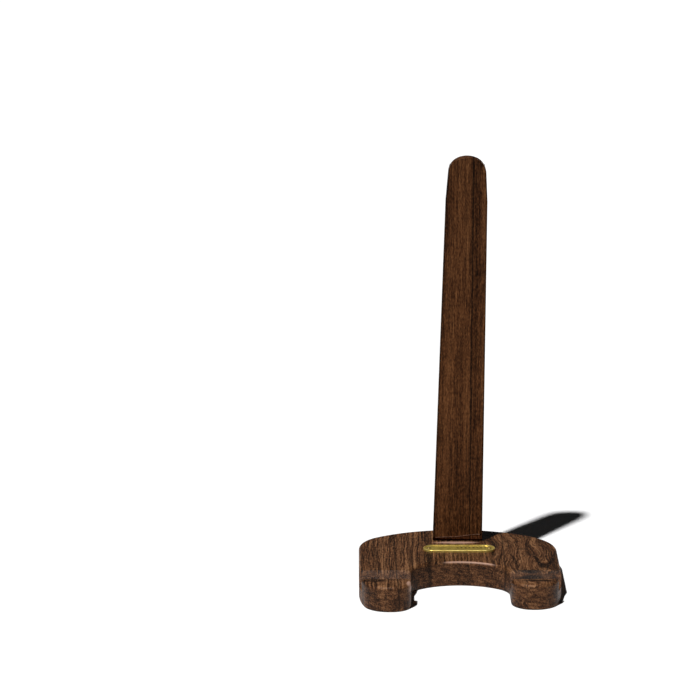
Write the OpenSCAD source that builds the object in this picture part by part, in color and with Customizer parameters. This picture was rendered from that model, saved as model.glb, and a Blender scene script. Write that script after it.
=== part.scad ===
// Wooden tablet stand: a horseshoe base, a loose upright and a brass nameplate.
// Origin: middle of the stand's footprint, on the surface it rests on.
// +Z is up, the two prongs point along -Y, and +X is on the right seen from the front.

/* [Base] */
// Width of the base across both prongs
base_w = 99; // [92:0.5:110]
// Depth of the base from its rounded back to the tip of the left prong
base_d = 100.8; // [98:0.2:106]
// Thickness of the base board
base_t = 12.7; // [11.5:0.1:16]
// Radius of the left half of the broad arc along the back edge
back_left_r = 67.5; // [62:0.5:69]
// Radius of the right half of the broad arc along the back edge
back_right_r = 64; // [60:0.5:69]
// Radius of the rounded-over top edge
top_round = 1.8; // [1:0.1:2.4]
// Radius of the eased bottom edge
bottom_round = 0.8; // [0.4:0.1:1.2]

/* [Prongs] */
// Width of the gap between the prongs
gap_w = 48.6; // [44:0.2:52]
// Depth of the gap, measured from the tip of the left prong
gap_d = 43.6; // [40:0.2:45]
// Radius of the broad arc at the end of the gap
gap_arc_r = 32; // [30:0.5:33]
// Radius of the broad arc by which each prong narrows towards its tip
taper_r = 60; // [55:1:70]
// Radius of the outer front corner of each prong
tip_outer_r = 12.2; // [11:0.1:13]
// Radius of the inner front corner of the left prong
left_inner_r = 9.5; // [7:0.1:10.5]
// Radius of the inner front corner of the right prong
right_inner_r = 10.6; // [7:0.1:10.8]
// How much shorter the right prong is than the left one
right_short = 3.6; // [0:0.2:5]

/* [Tablet slots] */
// Distance from the tip of the left prong to the front wall of the slots
slot_setback = 13.6; // [12:0.2:15]
// Width of the flat floor of the slots
slot_floor = 9.6; // [8:0.1:12]
// Depth of the slots below the top of the base
slot_depth = 6.3; // [5:0.1:7]
// Lean of the back wall of the slots, in degrees from upright
slot_lean = 38; // [20:1:40]

/* [Mortise] */
// Width of the mortise that takes the foot of the upright
mortise_w = 25.6; // [25.2:0.1:27]
// Front-to-back size of the mortise
mortise_l = 7.4; // [7.2:0.1:8.4]
// Depth of the mortise
mortise_depth = 9; // [7:0.5:10]
// Distance from the back edge of the base to the back wall of the mortise
mortise_back = 15.2; // [13:0.2:18]

/* [Upright] */
// Height of the top of the upright above the table
upright_h = 208.4; // [190:0.2:225]
// Width of the upright where it enters the base
foot_w = 24.8; // [23:0.1:24.9]
// Width of the upright below its crown
neck_w = 20.6; // [19:0.1:21.5]
// Width of the upright just under its crown
crown_w = 18.8; // [17.5:0.1:19.6]
// Radius of the crown's broad arc
crown_arc_r = 12; // [11:0.5:16]
// Radius of the crown's corners
crown_corner_r = 8; // [5:0.1:8.4]
// Thickness of the upright
upright_t = 6.8; // [6:0.1:6.9]
// Distance of the upright's foot from the base's centre line, towards +X
upright_x = 0.25; // [0:0.05:0.5]
// Sideways lean of the upright, in degrees towards +X
lean_side = 1.1; // [0:0.1:2]
// Backward lean of the upright, in degrees
lean_back = 0.5; // [0:0.1:1.5]
// How far the front of the foot is pared back to enter the mortise
pare_depth = 2; // [1:0.1:2.5]
// Height of the pared area above the base at its left end
pare_left = 1.6; // [1:0.1:3]
// Height of the pared area above the base at its right end
pare_right = 3.6; // [1:0.1:4.5]

/* [Nameplate] */
// Length of the brass plate
plate_l = 36; // [32:0.5:40]
// Width of the brass plate
plate_w = 10.2; // [8:0.1:11]
// Thickness of the plate at its rim
plate_t = 1.2; // [0.8:0.1:1.6]
// Width of the raised rim
plate_rim = 0.6; // [0.4:0.1:0.9]
// Distance from the back edge of the base to the middle of the plate
plate_back = 37.2; // [35:0.2:39]
// Distance of the plate's middle from the base's centre line, towards +X
plate_x = 0.6; // [0:0.1:1]
// Distance from each end of the plate to its pin
pin_inset = 2.9; // [2.4:0.1:4]
// Diameter of the pin shanks
pin_d = 1; // [0.8:0.1:1.2]
// Diameter of the pin heads
pin_head_d = 2; // [1.8:0.1:2.4]

/* [Hidden] */
$fn = 96;

// How far a cutter runs past a surface
over = 1;

// The rounded top edge reaches this much above the top of the base, so that the two meet
// at a small angle.
crest = 0.01;
lip_z = base_t - top_round + crest;

// Outside of the base. Each arc gives way to the next on a line through both centres:
// towards turn from the back arc to the shoulder, and towards taper from the side of a
// prong to its tip. Both are exact, 3-4-5 and 7-24-25.
back_y = base_d / 2;
tip_y = -base_d / 2;
side_x = base_w / 2;
turn_x = 0.6;
turn_y = 0.8;
taper_x = 0.96;
taper_y = 0.28;

// Gap between the prongs. Its broad arc gives way to its corner arcs in the same way.
gap_x = gap_w / 2;
gap_arc_y = tip_y + gap_d - gap_arc_r;
gap_corner_r = (gap_x - gap_arc_r * turn_x) / (1 - turn_x);
corner_x = gap_x - gap_corner_r;
corner_y = gap_arc_y + (gap_arc_r - gap_corner_r) * turn_y;

// Slots
slot_front_y = tip_y + slot_setback;
slot_floor_y = slot_front_y + slot_floor;
slot_rise = slot_depth + over;
slot_back_y = slot_floor_y + slot_rise * tan(slot_lean);

// Mortise, and the upright that stands in it
foot_play = 0.3;
foot_raise = 0.1;
mortise_y = back_y - mortise_back - mortise_l / 2;
upright_y = back_y - mortise_back - foot_play - upright_t / 2;
foot_under = mortise_depth - foot_raise;
pare_run_out = 1.4;
upright_l = upright_h - base_t;
neck_below = 22;
crown_arc_z = upright_l - crown_arc_r;
crown_corner_x = crown_w / 2 - crown_corner_r;
crown_corner_z = crown_arc_z
    + sqrt(pow(crown_arc_r - crown_corner_r, 2) - pow(crown_corner_x, 2));

// Nameplate and its pins
field_depth = 0.4;
plate_lift = 0.02;
plate_y = back_y - plate_back;
pin_x = plate_l / 2 - pin_inset;
pin_shank = 5;
pin_head_t = 0.5;
pin_play = 0.1;

// Half section of the board: square inside, rounded over at the outer edge r.
module edge_section(r) {
    intersection() {
        union() {
            translate([0, bottom_round])
                square([r, lip_z - bottom_round]);
            square([r - top_round, base_t]);
            square([r - bottom_round, bottom_round + over]);
            translate([r - top_round, lip_z])
                circle(top_round);
            translate([r - bottom_round, bottom_round])
                circle(bottom_round);
        }
        square([r, base_t]);
    }
}

// The outer part of the same section, for arcs whose centre lies off the board.
module rim_section(r) {
    intersection() {
        edge_section(r);
        translate([r - tip_outer_r - over, 0])
            square([tip_outer_r + over, base_t]);
    }
}

// Turns its section about x, y, and keeps the slice between the given directions.
module turned(x, y, r, turns) {
    translate([x, y, 0])
        intersection() {
            rotate_extrude()
                children();
            translate([0, 0, -2 * over])
                linear_extrude(base_t + 4 * over)
                    polygon(concat([[0, 0]], 2 * r * turns));
        }
}

// A straight piece of board from x, y along the direction turn. Its rounded edge is
// at the distance reach, on the right-hand side of that direction.
module board_run(x, y, turn, length, reach) {
    translate([x, y, 0])
        rotate([0, 0, turn - 90])
            rotate([90, 0, 0])
                mirror([0, 0, 1])
                    linear_extrude(length)
                        edge_section(reach);
}

// The left prong up to y, with the inner corner of its tip at inner_r.
module prong(y, short, inner_r) {
    front_y = tip_y + short;
    outer_y = front_y + tip_outer_r;
    taper_cx = taper_r - side_x;
    taper_cy = outer_y + (taper_r - tip_outer_r) * taper_y;
    outer_x = taper_cx - (taper_r - tip_outer_r) * taper_x;
    inner_x = -gap_x - inner_r;
    inner_y = front_y + inner_r;
    turned(taper_cx, taper_cy, taper_r, [[-1, 0], [-taper_x, -taper_y]])
        rim_section(taper_r);
    turned(outer_x, outer_y, tip_outer_r, [[-taper_x, -taper_y], [-taper_x, -1], [0, -1]])
        edge_section(tip_outer_r);
    turned(inner_x, inner_y, inner_r, [[0, -1], [1, -1], [1, 0]])
        edge_section(inner_r);
    board_run(outer_x, outer_y, 0, inner_x - outer_x, tip_outer_r);
    board_run(tip_outer_r - side_x, y, 270, y - taper_cy, tip_outer_r);
    board_run(inner_x, inner_y, 90, corner_y - inner_y, inner_r);
    translate([outer_x - tip_outer_r / 2, outer_y, 0])
        cube([inner_x - outer_x + tip_outer_r / 2, corner_y - outer_y, base_t]);
}

// The left half of the board, before the end of the gap is cut.
module board_half(back_r, short, inner_r) {
    arc_y = back_y - back_r;
    shoulder_r = (side_x - back_r * turn_x) / (1 - turn_x);
    shoulder_x = side_x - shoulder_r;
    shoulder_y = arc_y + (back_r - shoulder_r) * turn_y;
    turned(0, arc_y, back_r, [[0, 1], [-turn_x, turn_y]])
        edge_section(back_r);
    turned(-shoulder_x, shoulder_y, shoulder_r, [[-turn_x, turn_y], [-1, turn_y], [-1, 0]])
        edge_section(shoulder_r);
    prong(shoulder_y, short, inner_r);
    translate([tip_outer_r / 2 - side_x, corner_y, 0])
        cube([side_x - tip_outer_r / 2, shoulder_y - corner_y, base_t]);
}

module board() {
    board_half(back_left_r, 0, left_inner_r);
    mirror([1, 0, 0])
        board_half(back_right_r, right_short, right_inner_r);
}

// Half section of the cutter for the gap: it flares over the rounded edges it leaves.
module gap_section(r) {
    translate([0, -over])
        square([r, base_t + 2 * over]);
    difference() {
        translate([0, lip_z])
            square([r + top_round, top_round + over]);
        translate([r + top_round, lip_z])
            circle(top_round);
    }
    difference() {
        translate([0, -over])
            square([r + bottom_round, bottom_round + over]);
        translate([r + bottom_round, bottom_round])
            circle(bottom_round);
    }
}

// The round end of the gap, from where the prongs become straight.
module gap_end() {
    turned(0, gap_arc_y, gap_arc_r, [[turn_x, turn_y], [-turn_x, turn_y]])
        gap_section(gap_arc_r);
    for (side = [-1, 1])
        turned(side * corner_x, corner_y, 1.5 * gap_corner_r,
                [[side, 0], [side, turn_y], [side * turn_x, turn_y]])
            gap_section(gap_corner_r);
}

// The trench across both prongs that takes the lower edge of a tablet.
module slot_cut() {
    translate([-side_x - over, 0, base_t - slot_depth])
        rotate([90, 0, 90])
            linear_extrude(base_w + 2 * over)
                polygon([
                    [slot_front_y, 0],
                    [slot_floor_y, 0],
                    [slot_back_y, slot_rise],
                    [slot_front_y, slot_rise]
                ]);
}

// Places its children in the leaning frame of the upright, with its origin on the base.
module lean() {
    translate([upright_x, upright_y, base_t])
        rotate([-lean_back, lean_side, 0])
            children();
}

// The hole for the foot, which leans with the upright.
module mortise_cut() {
    lean()
        translate([-mortise_w / 2, mortise_y - upright_y - mortise_l / 2, -mortise_depth])
            cube([mortise_w, mortise_l, mortise_depth + over]);
}

// Puts its children at both pins of the nameplate.
module at_pins() {
    for (side = [-1, 1])
        translate([plate_x + side * pin_x, plate_y, base_t + plate_lift])
            children();
}

module base() {
    color([0.42, 0.29, 0.19])
        difference() {
            board();
            gap_end();
            slot_cut();
            mortise_cut();
            at_pins()
                translate([0, 0, -pin_shank - over])
                    cylinder(h = pin_shank + 2 * over, d = pin_d);
        }
}

// Front outline of the upright, from the end of its foot to its crown.
module upright_outline() {
    polygon([
        [-foot_w / 2, -foot_under],
        [foot_w / 2, -foot_under],
        [foot_w / 2, 0],
        [neck_w / 2, upright_l - neck_below],
        [crown_w / 2, crown_corner_z],
        [-crown_w / 2, crown_corner_z],
        [-neck_w / 2, upright_l - neck_below],
        [-foot_w / 2, 0]
    ]);
    for (side = [-1, 1])
        translate([side * crown_corner_x, crown_corner_z])
            circle(crown_corner_r);
    reach = 2 * crown_arc_r / (crown_arc_r - crown_corner_r);
    translate([0, crown_arc_z])
        intersection() {
            circle(crown_arc_r);
            polygon([
                [0, 0],
                [reach * crown_corner_x, reach * (crown_corner_z - crown_arc_z)],
                [-reach * crown_corner_x, reach * (crown_corner_z - crown_arc_z)]
            ]);
        }
}

// The front of the foot that is pared away. Its upper edge climbs from left to right.
module pare_cut() {
    front = -upright_t / 2;
    translate([0, front - over, 0])
        rotate([-90, 0, 0])
            linear_extrude(over + pare_depth)
                polygon([
                    [-foot_w / 2 - over, foot_under + over],
                    [foot_w / 2 + over, foot_under + over],
                    [foot_w / 2 + over, pare_run_out - pare_right],
                    [-foot_w / 2 - over, pare_run_out - pare_left]
                ]);
}

module upright() {
    color([0.33, 0.20, 0.12])
        lean()
            difference() {
                translate([0, upright_t / 2, 0])
                    rotate([90, 0, 0])
                        linear_extrude(upright_t)
                            upright_outline();
                pare_cut();
            }
}

// Plan of the plate: a bar with round ends.
module plate_plan(inset) {
    r = plate_w / 2 - inset;
    straight = plate_l - plate_w;
    translate([-straight / 2, -r])
        square([straight, 2 * r]);
    for (side = [-1, 1])
        translate([side * straight / 2, 0])
            circle(r);
}

module nameplate() {
    color([0.78, 0.66, 0.31])
        difference() {
            translate([plate_x, plate_y, base_t + plate_lift])
                difference() {
                    linear_extrude(plate_t)
                        plate_plan(0);
                    translate([0, 0, plate_t - field_depth])
                        linear_extrude(field_depth + over)
                            plate_plan(plate_rim);
                }
            at_pins()
                translate([0, 0, -over])
                    cylinder(h = plate_t + 2 * over, d = pin_d + pin_play);
        }
}

// Two round-headed pins driven through the plate into the base.
module plate_pins() {
    color([0.70, 0.58, 0.26])
        at_pins() {
            translate([0, 0, -pin_shank])
                cylinder(h = pin_shank + plate_t - field_depth, d = pin_d);
            translate([0, 0, plate_t - field_depth])
                cylinder(h = pin_head_t, d1 = pin_head_d, d2 = pin_head_d * 0.6);
        }
}

base();
upright();
nameplate();
plate_pins();
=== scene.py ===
"""Looks of a small wooden tablet stand: a horseshoe base, a loose upright and a brass nameplate."""

import logging
import math
from dataclasses import dataclass, field
from enum import Enum
from typing import Any, Callable, Iterable, Sequence

import bmesh
import bpy
from bmesh.types import BMEdge, BMesh, BMFace, BMVert
from bpy.types import ColorRamp, Material, Node, NodeSocket, Object
from mathutils import Matrix, Vector


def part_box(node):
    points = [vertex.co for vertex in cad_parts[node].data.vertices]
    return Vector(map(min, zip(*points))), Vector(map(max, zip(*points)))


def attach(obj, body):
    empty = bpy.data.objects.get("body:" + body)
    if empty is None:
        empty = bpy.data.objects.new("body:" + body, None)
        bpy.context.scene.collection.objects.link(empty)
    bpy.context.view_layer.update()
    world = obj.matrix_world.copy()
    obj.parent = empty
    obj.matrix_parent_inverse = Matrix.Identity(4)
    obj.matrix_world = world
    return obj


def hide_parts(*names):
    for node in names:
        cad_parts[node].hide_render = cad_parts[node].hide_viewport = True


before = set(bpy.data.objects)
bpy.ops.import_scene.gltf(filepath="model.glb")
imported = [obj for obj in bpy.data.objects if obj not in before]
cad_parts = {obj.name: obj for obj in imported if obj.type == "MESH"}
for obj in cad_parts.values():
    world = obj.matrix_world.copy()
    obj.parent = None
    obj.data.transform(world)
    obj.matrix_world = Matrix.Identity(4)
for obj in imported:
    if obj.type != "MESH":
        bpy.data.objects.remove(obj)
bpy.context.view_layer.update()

LOG = logging.getLogger("tablet_stand")
MM = 0.001
TINY = 1e-6
LEAN_SIDE = math.radians(1.1)
LEAN_BACK = math.radians(0.5)
MORTISE_BACK = 15.2 * MM

Colour = tuple[float, float, float]
Place = tuple[float, float, float]


# ---- shader writing


class Value:
    """A number that changes over a surface. Arithmetic on it adds Math nodes."""

    def __init__(self, sheet: "Sheet", socket: NodeSocket) -> None:
        """Wraps the output socket that carries the number."""
        self.sheet = sheet
        self.socket = socket

    def _math(self, operation: str, first: Any, second: Any = None, clamp: bool = False) -> "Value":
        """Adds one Math node.

        Args:
            operation: the node's operation.
            first: its first input.
            second: its second input, if it has one.
            clamp: whether the result is kept between 0 and 1.

        Returns:
            The node's result.
        """
        inputs = {0: first} if second is None else {0: first, 1: second}
        node = self.sheet.node("ShaderNodeMath", {"operation": operation, "use_clamp": clamp}, inputs)
        return Value(self.sheet, node.outputs[0])

    def __add__(self, other: Any) -> "Value":
        """Sum."""
        return self._math("ADD", self, other)

    def __mul__(self, other: Any) -> "Value":
        """Product."""
        return self._math("MULTIPLY", self, other)

    def __sub__(self, other: Any) -> "Value":
        """Difference."""
        return self._math("SUBTRACT", self, other)

    def __truediv__(self, other: Any) -> "Value":
        """Quotient."""
        return self._math("DIVIDE", self, other)

    def __abs__(self) -> "Value":
        """Size without its sign."""
        return self._math("ABSOLUTE", self)

    def __pow__(self, exponent: float) -> "Value":
        """Power."""
        return self._math("POWER", self, exponent)

    def fraction(self) -> "Value":
        """The part after the decimal point."""
        return self._math("FRACT", self)

    def most(self, other: Any) -> "Value":
        """The larger of two."""
        return self._math("MAXIMUM", self, other)

    def kept(self) -> "Value":
        """Kept between 0 and 1."""
        return self._math("ADD", self, 0.0, clamp=True)

    def rise(self, low: float, high: float) -> "Value":
        """A smooth step.

        Args:
            low: the value that gives 0.
            high: the value that gives 1; below low for a falling step.

        Returns:
            0 to 1.
        """
        settings = {"interpolation_type": "SMOOTHSTEP", "clamp": True}
        if low < high:
            ends = {"Value": self, "From Min": low, "From Max": high, "To Min": 0.0, "To Max": 1.0}
        else:
            ends = {"Value": self, "From Min": high, "From Max": low, "To Min": 1.0, "To Max": 0.0}
        return Value(self.sheet, self.sheet.node("ShaderNodeMapRange", settings, ends).outputs["Result"])

    def band(self, centre: float, half_width: float) -> "Value":
        """A soft line: 1 at the centre and 0 at half_width from it and beyond."""
        return abs(self - centre).rise(half_width, 0.0)


@dataclass(frozen=True)
class Layer:
    """A layer of soft variation: its sizes in millimetres, its detail and how far it is shifted."""

    sizes: tuple[float, float, float]
    detail: float = 2.0
    roughness: float = 0.5
    shifts: tuple[float, float, float] = (0.0, 0.0, 0.0)


class Sheet:
    """Writes one material's node tree."""

    def __init__(self, name: str) -> None:
        """Starts an empty material of that name."""
        self.material = bpy.data.materials.new(name)
        self.material.use_nodes = True
        self.tree = self.material.node_tree
        self.tree.nodes.clear()

    def node(self, kind: str, settings: dict[str, Any], inputs: dict[Any, Any]) -> Node:
        """Adds a node.

        Args:
            kind: the node's type.
            settings: its properties, set first; "stops" holds a ramp's positions and colours.
            inputs: values or links of its sockets, by name or number.

        Returns:
            The node.
        """
        node = self.tree.nodes.new(kind)
        for key, value in settings.items():
            if key == "stops":
                self._stops(node.color_ramp, value)
            else:
                setattr(node, key, value)
        for key, value in inputs.items():
            self._feed(node.inputs[key], value)
        return node

    @staticmethod
    def _stops(ramp: ColorRamp, stops: Sequence[tuple[float, Colour]]) -> None:
        """Sets a ramp's stops.

        Args:
            ramp: the ramp.
            stops: positions and colours, in order.
        """
        while len(ramp.elements) < len(stops):
            ramp.elements.new(1.0)
        for element, (position, colour) in zip(ramp.elements, stops):
            element.position = position
            element.color = (*colour, 1.0)

    def _feed(self, socket: NodeSocket, value: Any) -> None:
        """Links or sets one input.

        Args:
            socket: the input.
            value: a Value, a socket, a number or a colour.
        """
        if isinstance(value, Value):
            self.tree.links.new(value.socket, socket)
        elif isinstance(value, NodeSocket):
            self.tree.links.new(value, socket)
        elif isinstance(value, tuple) and socket.type == "RGBA":
            socket.default_value = (*value, 1.0)
        else:
            socket.default_value = value

    def place(self) -> tuple[Value, Value, Value]:
        """Object coordinates in millimetres, as x, y and z."""
        coordinates = self.node("ShaderNodeTexCoord", {}, {}).outputs["Object"]
        split = self.node("ShaderNodeSeparateXYZ", {}, {0: coordinates})
        return tuple(Value(self, output) * 1000.0 for output in split.outputs)

    def point(self, x: Any, y: Any, z: Any) -> NodeSocket:
        """A vector from three numbers."""
        return self.node("ShaderNodeCombineXYZ", {}, {0: x, 1: y, 2: z}).outputs[0]

    def noise(self, layer: Layer, *place: Value) -> Value:
        """Soft variation, mostly between 0.3 and 0.7.

        Args:
            layer: its sizes and how fine it is.
            place: where it is read, in millimetres along three directions.

        Returns:
            The variation.
        """
        scaled = [at / size + shift if shift else at / size
                  for at, size, shift in zip(place, layer.sizes, layer.shifts)]
        inputs = {"Vector": self.point(*scaled), "Scale": 1.0, "Detail": layer.detail,
                  "Roughness": layer.roughness}
        node = self.node("ShaderNodeTexNoise", {"noise_dimensions": "3D", "normalize": True}, inputs)
        return Value(self, node.outputs["Fac"])

    def ramp(self, value: Value, stops: Sequence[tuple[float, Colour]]) -> NodeSocket:
        """A colour looked up from a number, through stops of positions and colours."""
        return self.node("ShaderNodeValToRGB", {"stops": stops}, {0: value}).outputs["Color"]

    def mix(self, amount: Any, first: Any, second: Any, blend: str = "MIX") -> NodeSocket:
        """Blends two colours; an amount of 0 gives the first and 1 the second."""
        settings = {"data_type": "RGBA", "blend_type": blend, "clamp_factor": True}
        return self.node("ShaderNodeMix", settings, {0: amount, 6: first, 7: second}).outputs[2]

    def bump(self, height: Value, depth: float) -> NodeSocket:
        """A normal from a height; a height of 1 stands for depth, in metres."""
        inputs = {"Height": height, "Distance": depth, "Strength": 1.0}
        return self.node("ShaderNodeBump", {}, inputs).outputs["Normal"]

    def surface(self, inputs: dict[str, Any]) -> Material:
        """Finishes the material with one principled surface.

        Args:
            inputs: its sockets, by name.

        Returns:
            The material.
        """
        shader = self.node("ShaderNodeBsdfPrincipled", {}, inputs)
        self.node("ShaderNodeOutputMaterial", {}, {"Surface": shader.outputs[0]})
        return self.material


# ---- finishes


class Grain(Enum):
    """Which way the grain of a board runs."""

    FRONT_TO_BACK = "y"
    UPRIGHT = "z"


class Cut(Enum):
    """How a wooden face was left."""

    POLISHED = "polished"
    RAW = "raw"


@dataclass(frozen=True)
class Vein:
    """A dark line along the grain, in millimetres: where it runs and how wide and dark it is."""

    across: float
    half_width: float
    strength: float
    slope: float = 0.0
    first: float = -1000.0
    last: float = 1000.0


@dataclass(frozen=True)
class Mark:
    """A long soft spot, in millimetres: where it lies, how long and wide it is and which way it points."""

    across: float
    along: float
    half_length: float
    half_width: float
    degrees: float = 0.0
    strength: float = 0.9


@dataclass(frozen=True)
class PaintedEdgeHighlight:
    """A round edge painted pale as a highlight, in millimetres: its centre line and the stretch that is
    painted.
    """

    centre: float
    radius: float
    half_width: float
    first: float
    last: float


BANDS = Layer((6.0, 14.0, 130.0))
STREAKS = Layer((0.85, 7.0, 60.0), detail=3.0, roughness=0.65)
FIBRES = Layer((0.30, 1.6, 9.0), roughness=0.6)
RINGS = Layer((3.6, 1.5, 14.0), detail=4.0, roughness=0.68)
RING_TILT = 0.72
WEAVE = Layer((0.55, 0.5, 4.0))
DRIFT = Layer((46.0, 46.0, 120.0))
WOBBLE = Layer((7.0, 7.0, 16.0))
SWIRL = Layer((13.0, 11.0, 34.0), shifts=(3.0, 0.0, 0.0))
HAIRS = Layer((1.9, 12.0, 95.0), detail=1.0, shifts=(0.0, 0.0, 5.0))
CONTOUR = Layer((9.0, 20.0, 80.0), detail=1.5, shifts=(0.0, 0.0, 5.0))
PATCHES = Layer((9.0, 9.0, 26.0), shifts=(0.0, 0.0, 9.0))
PORES = Layer((0.30, 0.30, 3.0), detail=1.0)
FLECKS = Layer((0.40, 0.40, 2.0), detail=1.0, shifts=(7.0, 0.0, 0.0))
SAW = Layer((0.5, 0.5, 0.5), detail=3.0)
HANDLING = Layer((9.0, 9.0, 14.0), detail=3.0)
MOTTLE_STRETCH = 2.9
VEIN_FADE = 3.0
# How softly the painted edge highlight fades at its ends, in millimetres.
EDGE_HIGHLIGHT_FADE = 5.0


class Board:
    """A place in a board: across the grain, through it and along it, and how its figure bends there."""

    def __init__(self, sheet: Sheet, finish: "WoodFinish") -> None:
        """Reads the place, in millimetres, and bends the figure.

        Args:
            sheet: the material's writer.
            finish: the finish, which says which way the grain runs and where it curls.
        """
        x, y, z = sheet.place()
        self.sheet = sheet
        self.across = x
        self.through, self.along = (z, y) if finish.grain is Grain.FRONT_TO_BACK else (y, z)
        self.wobble = self.noise(WOBBLE) - 0.5
        self.curl = x.rise(finish.curl_from, finish.curl_full)
        self.bent = x + (self.noise(DRIFT) - 0.5) * 6.0 + self.wobble * 0.8
        self.bent = self.bent + self.curl * (self.noise(SWIRL) - 0.5) * 17.0

    def noise(self, layer: Layer) -> Value:
        """A layer read at the place itself."""
        return self.sheet.noise(layer, self.across, self.through, self.along)

    def figure(self, layer: Layer) -> Value:
        """A layer read at the place as the figure bends it."""
        return self.sheet.noise(layer, self.bent, self.through, self.along)

    def window(self, first: float, last: float, fade: float) -> Value:
        """1 across the grain between two places, and 0 outside them."""
        return self.across.rise(first, first + fade) * self.across.rise(last, last - fade)


@dataclass(frozen=True)
class WoodFinish:
    """Dark oiled hardwood with straight streaks, open pores and, where asked, a curly figure."""

    name: str
    grain: Grain
    cut: Cut = Cut.POLISHED
    tint: Colour = (0.86, 0.74, 0.62)
    contrast: float = 1.0
    streaky: float = 2.1
    mottled: float = 0.8
    mottle_size: float = 0.9
    shade_at_0: float = 1.0
    shade_at_200: float = 1.0
    shine: float = 0.10
    darkest: Colour = (0.0075, 0.0034, 0.0017)
    dark: Colour = (0.034, 0.0145, 0.0064)
    middle: Colour = (0.092, 0.0420, 0.0200)
    light: Colour = (0.158, 0.0800, 0.0400)
    palest: Colour = (0.250, 0.142, 0.0760)
    raw_tint: Colour = (0.430, 0.262, 0.192)
    raw_share: float = 0.74
    curl_from: float = 1000.0
    curl_full: float = 1001.0
    wall_from: float = 1000.0
    wall_full: float = 1001.0
    veins: tuple[Vein, ...] = ()
    # Dark spots: real stains, and painted shade where they are placed in or along a slot.
    stains_and_slot_shade: tuple[Mark, ...] = ()
    # Pale spots, which are real wear or painted highlights where light catches an edge, and the height above
    # which they show.
    rubs_and_highlights: tuple[Mark, ...] = ()
    pale_marks_above: float = -1000.0
    # A round edge painted pale as a highlight, where the key light catches its rounding.
    wear_and_sheen: PaintedEdgeHighlight | None = None

    def _drawn_veins(self, at: Board) -> Value:
        """The single dark lines, 0 to 1."""
        total = at.wobble * 0.0
        for vein in self.veins:
            line = (at.across + at.wobble * 1.6 - at.along * vein.slope).band(vein.across, vein.half_width)
            starts = at.along.rise(vein.first - VEIN_FADE, vein.first + VEIN_FADE)
            stops = at.along.rise(vein.last + VEIN_FADE, vein.last - VEIN_FADE)
            total = total.most(line * (starts * stops) * vein.strength)
        return total

    @staticmethod
    def _marks(marks: Sequence[Mark], at: Board, stray: float) -> Value:
        """The soft spots.

        Args:
            marks: the spots.
            at: the place in the board.
            stray: how far their outlines stray, in millimetres.

        Returns:
            0 to 1.
        """
        total = at.wobble * 0.0
        for mark in marks:
            turn = math.radians(mark.degrees)
            right, back = at.across - mark.across, at.along - mark.along
            lengthwise = (right * math.cos(turn) + back * math.sin(turn)) / mark.half_length
            sideways = (back * math.cos(turn) - right * math.sin(turn) + at.wobble * stray) / mark.half_width
            away = lengthwise * lengthwise + sideways * sideways
            total = total.most(away.rise(1.0, 0.15) * mark.strength)
        return total

    def _tone(self, at: Board) -> Value:
        """How light the figure is, around 0.5."""
        bands = at.figure(BANDS) - 0.5
        face = bands * 1.3 + (at.figure(STREAKS) - 0.5) * self.streaky + (at.figure(FIBRES) - 0.5) * 1.5
        size = self.mottle_size
        mottle = at.noise(Layer((size, size, size * MOTTLE_STRETCH)))
        face = face + (mottle - 0.5) * self.mottled
        rings = at.sheet.noise(RINGS, at.across + at.through * RING_TILT, at.through, at.along)
        wall = (rings - 0.5) * 1.4 + (at.noise(WEAVE) - 0.5) * 1.1 + bands * 0.7 - 0.05
        return face + (wall - face) * at.through.rise(self.wall_from, self.wall_full)

    def _heart(self, at: Board) -> Value:
        """How much of the darkest colour shows in the dark lines, loops, stains and painted shade."""
        lines = abs(at.figure(HAIRS) - 0.5).rise(0.045, 0.0) * 0.9
        loops = abs((at.figure(CONTOUR) * 9.0).fraction() - 0.5).rise(0.085, 0.0) * at.curl * 0.8
        patchy = at.noise(PATCHES).rise(0.36, 0.56)
        faint = lines.most(loops) * patchy * self.contrast * 0.9
        return faint.most(self._drawn_veins(at)).most(self._marks(self.stains_and_slot_shade, at, 2.2))

    def _pale_rubs_and_highlights(self, at: Board) -> Value:
        """How pale the wood is made by its rubbed spots, its spots of painted highlight and its edge painted
        with a highlight.
        """
        pale = self._marks(self.rubs_and_highlights, at, 1.2) * at.through.rise(self.pale_marks_above - 1.5, self.pale_marks_above)
        if self.wear_and_sheen is None:
            return pale
        behind = at.along - self.wear_and_sheen.centre
        reach = (at.across * at.across + behind * behind) ** 0.5
        edge = reach.band(self.wear_and_sheen.radius, self.wear_and_sheen.half_width)
        return pale.most(edge * at.window(self.wear_and_sheen.first, self.wear_and_sheen.last, EDGE_HIGHLIGHT_FADE))

    def _colour(self, at: Board, tone: Value, heart: Value, pores: Value) -> NodeSocket:
        """The colour of the oiled wood.

        Args:
            at: the place in the board.
            tone: how light the figure is, 0 to 1.
            heart: how much of the darkest colour shows.
            pores: where the open pores are.

        Returns:
            The colour.
        """
        sheet = at.sheet
        colour = sheet.ramp(tone, ((0.14, self.darkest), (0.34, self.dark), (0.52, self.middle),
                                   (0.70, self.light), (0.92, self.palest)))
        colour = sheet.mix(heart.kept(), colour, self.darkest)
        flecks = at.noise(FLECKS).rise(0.58, 0.70)
        colour = sheet.mix(pores * (0.6 * self.contrast), colour, self.darkest)
        colour = sheet.mix(flecks * (0.42 * self.contrast), colour, self.palest)
        colour = sheet.mix(1.0, colour, self.tint, "MULTIPLY")
        if self.shade_at_0 != self.shade_at_200:
            level = at.along * ((self.shade_at_200 - self.shade_at_0) / 200.0) + self.shade_at_0
            colour = sheet.mix(1.0, colour, sheet.point(level, level, level), "MULTIPLY")
        # Rubbed wear and painted highlights blend the colour towards the pale raw colour.
        return sheet.mix(self._pale_rubs_and_highlights(at).kept() * 0.85, colour, self.raw_tint)

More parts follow.
